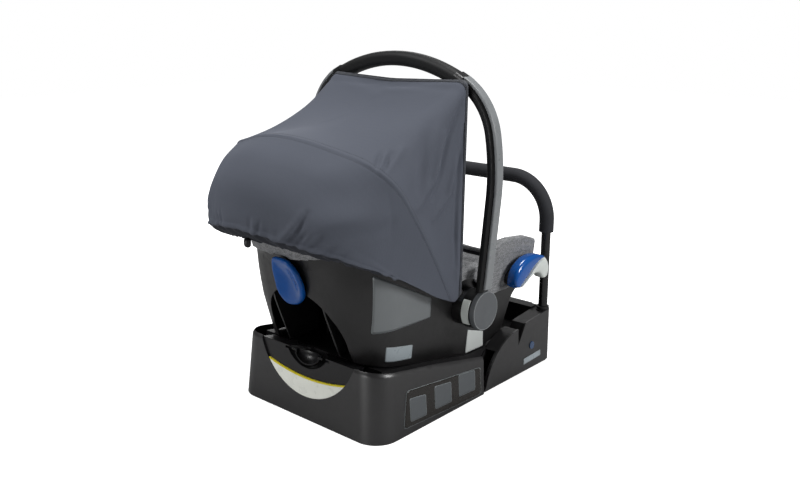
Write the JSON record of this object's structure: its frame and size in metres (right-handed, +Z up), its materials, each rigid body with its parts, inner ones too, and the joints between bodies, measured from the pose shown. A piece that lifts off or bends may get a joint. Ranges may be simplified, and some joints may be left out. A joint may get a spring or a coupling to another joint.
{
  "type": "infant car seat",
  "caption": "Rear-facing infant carrier with hinged carry handle, stretch hood, harness and belt hooks, resting on a belted base with an anti-rebound bar.",
  "frame": {"origin": "centre of the underside of the base's floor panel, on the centre plane", "axes": "+X to the seat's right flank as seen from its head end reversed, that is the side shown in the picture; -Y to the head end, +Y to the foot end; +Z up"},
  "size_m": [0.4762, 0.6701, 0.6495],
  "materials": {
    "shell_black": "fine satin grain, moulded",
    "panel_black": "fine matt grain, moulded",
    "inner_black": "plain matt, moulded",
    "fascia_grey": "satin, moulded",
    "crescent_white": "satin gloss off-white",
    "line_yellow": "gloss yellow",
    "bar_black": "gloss black powder coat",
    "foam_grey": "closed-cell foam, matt",
    "window_clear": "smoked clear lens",
    "pad_rubber": "matt rubber",
    "handle_black": "satin, moulded",
    "trim_grey": "satin mid grey",
    "cap_grey": "satin dark grey",
    "button_grey": "satin light grey",
    "grip_rubber": "matt soft-touch sleeve",
    "hook_blue": "gloss blue",
    "hook_tip": "satin light grey",
    "canopy_fabric": "stretch jersey, slate grey",
    "melange_grey": "melange jersey over wadding",
    "webbing": "woven polyester webbing",
    "shoulder_fabric": "padded knit",
    "buckle_black": "satin, moulded",
    "button_red": "gloss red",
    "steel": "bright zinc-plated steel",
    "spring_steel": "bare spring wire"
  },
  "bodies": {
    "base": {"base_skirt": "shell_black", "base_crescent": "crescent_white", "base_crescent_line": "line_yellow", "base_fascia": "fascia_grey", "base_floor": "panel_black", "base_chassis": "inner_black", "tower_panel_right": "panel_black", "tower_panel_left": "panel_black", "foot_panel": "panel_black", "rebound_bar": "bar_black", "rebound_foam": "foam_grey", "bar_collars": "inner_black", "level_window_right": "window_clear", "level_window_left": "window_clear", "grip_pads": "pad_rubber"},
    "carrier": {"carrier_shell": "shell_black", "latch_bars": "steel", "rear_hook": "hook_blue", "rear_hook_stem": "inner_black", "canopy": "canopy_fabric", "canopy_bow": "spring_steel", "bow_sockets": "inner_black", "seat_cover": "melange_grey", "seat_pad": "melange_grey", "head_hugger": "melange_grey", "buckle_body": "buckle_black", "buckle_tongues": "steel", "crotch_strap": "webbing", "adjuster_housing": "buckle_black", "hub_pins": "steel", "lap_hook_right": "hook_blue", "lap_hook_left": "hook_blue", "lap_hook_tip_right": "hook_tip", "lap_hook_tip_left": "hook_tip", "lap_hook_plate_right": "inner_black", "lap_hook_plate_left": "inner_black", "harness_strap_right": "webbing", "harness_strap_left": "webbing", "shoulder_pad_right": "shoulder_fabric", "shoulder_pad_left": "shoulder_fabric"},
    "handle": {"handle_core": "handle_black", "handle_grip": "grip_rubber", "hub_cap_right": "cap_grey", "hub_cap_left": "cap_grey", "handle_trim_right": "trim_grey", "handle_trim_left": "trim_grey", "canopy_clip_right": "handle_black", "canopy_clip_left": "handle_black"},
    "button_right": {"handle_button_right": "button_grey"},
    "button_left": {"handle_button_left": "button_grey"},
    "paddle": {"release_paddle": "panel_black"},
    "buckle_press": {"buckle_button": "button_red"},
    "adjuster_press": {"adjuster_lever": "button_grey"}
  },
  "joints": [
    {"name": "carrier_lift", "type": "slide", "parent": "base", "child": "carrier", "axis": [0, 0, 1], "range_m": [0, 0.25]},
    {"name": "handle_swing", "type": "hinge", "parent": "carrier", "child": "handle", "pos_m": [0, -0.009, 0.189], "axis": [1, 0, 0], "range_deg": [-25, 28], "deforming": ["canopy"]},
    {"name": "button_right_press", "type": "slide", "parent": "handle", "child": "button_right", "axis": [0, 1, 0], "range_m": [0, 0.005], "stiffness_N_per_m": 600, "springref_m": -0.002},
    {"name": "button_left_press", "type": "slide", "parent": "handle", "child": "button_left", "axis": [0, 1, 0], "range_m": [0, 0.005], "stiffness_N_per_m": 600, "springref_m": -0.002},
    {"name": "paddle_pull", "type": "hinge", "parent": "base", "child": "paddle", "pos_m": [0, -0.236, 0.122], "axis": [1, 0, 0], "range_deg": [0, 15], "stiffness_Nm_per_rad": 0.6, "springref_deg": -17.19},
    {"name": "buckle_press", "type": "slide", "parent": "carrier", "child": "buckle_press", "axis": [0, -0.1408, -0.99], "range_m": [0, 0.004], "stiffness_N_per_m": 1500, "springref_m": -0.002},
    {"name": "adjuster_press", "type": "slide", "parent": "carrier", "child": "adjuster_press", "axis": [0, 0.6758, -0.7371], "range_m": [0, 0.003], "stiffness_N_per_m": 1000, "springref_m": -0.002}
  ]
}
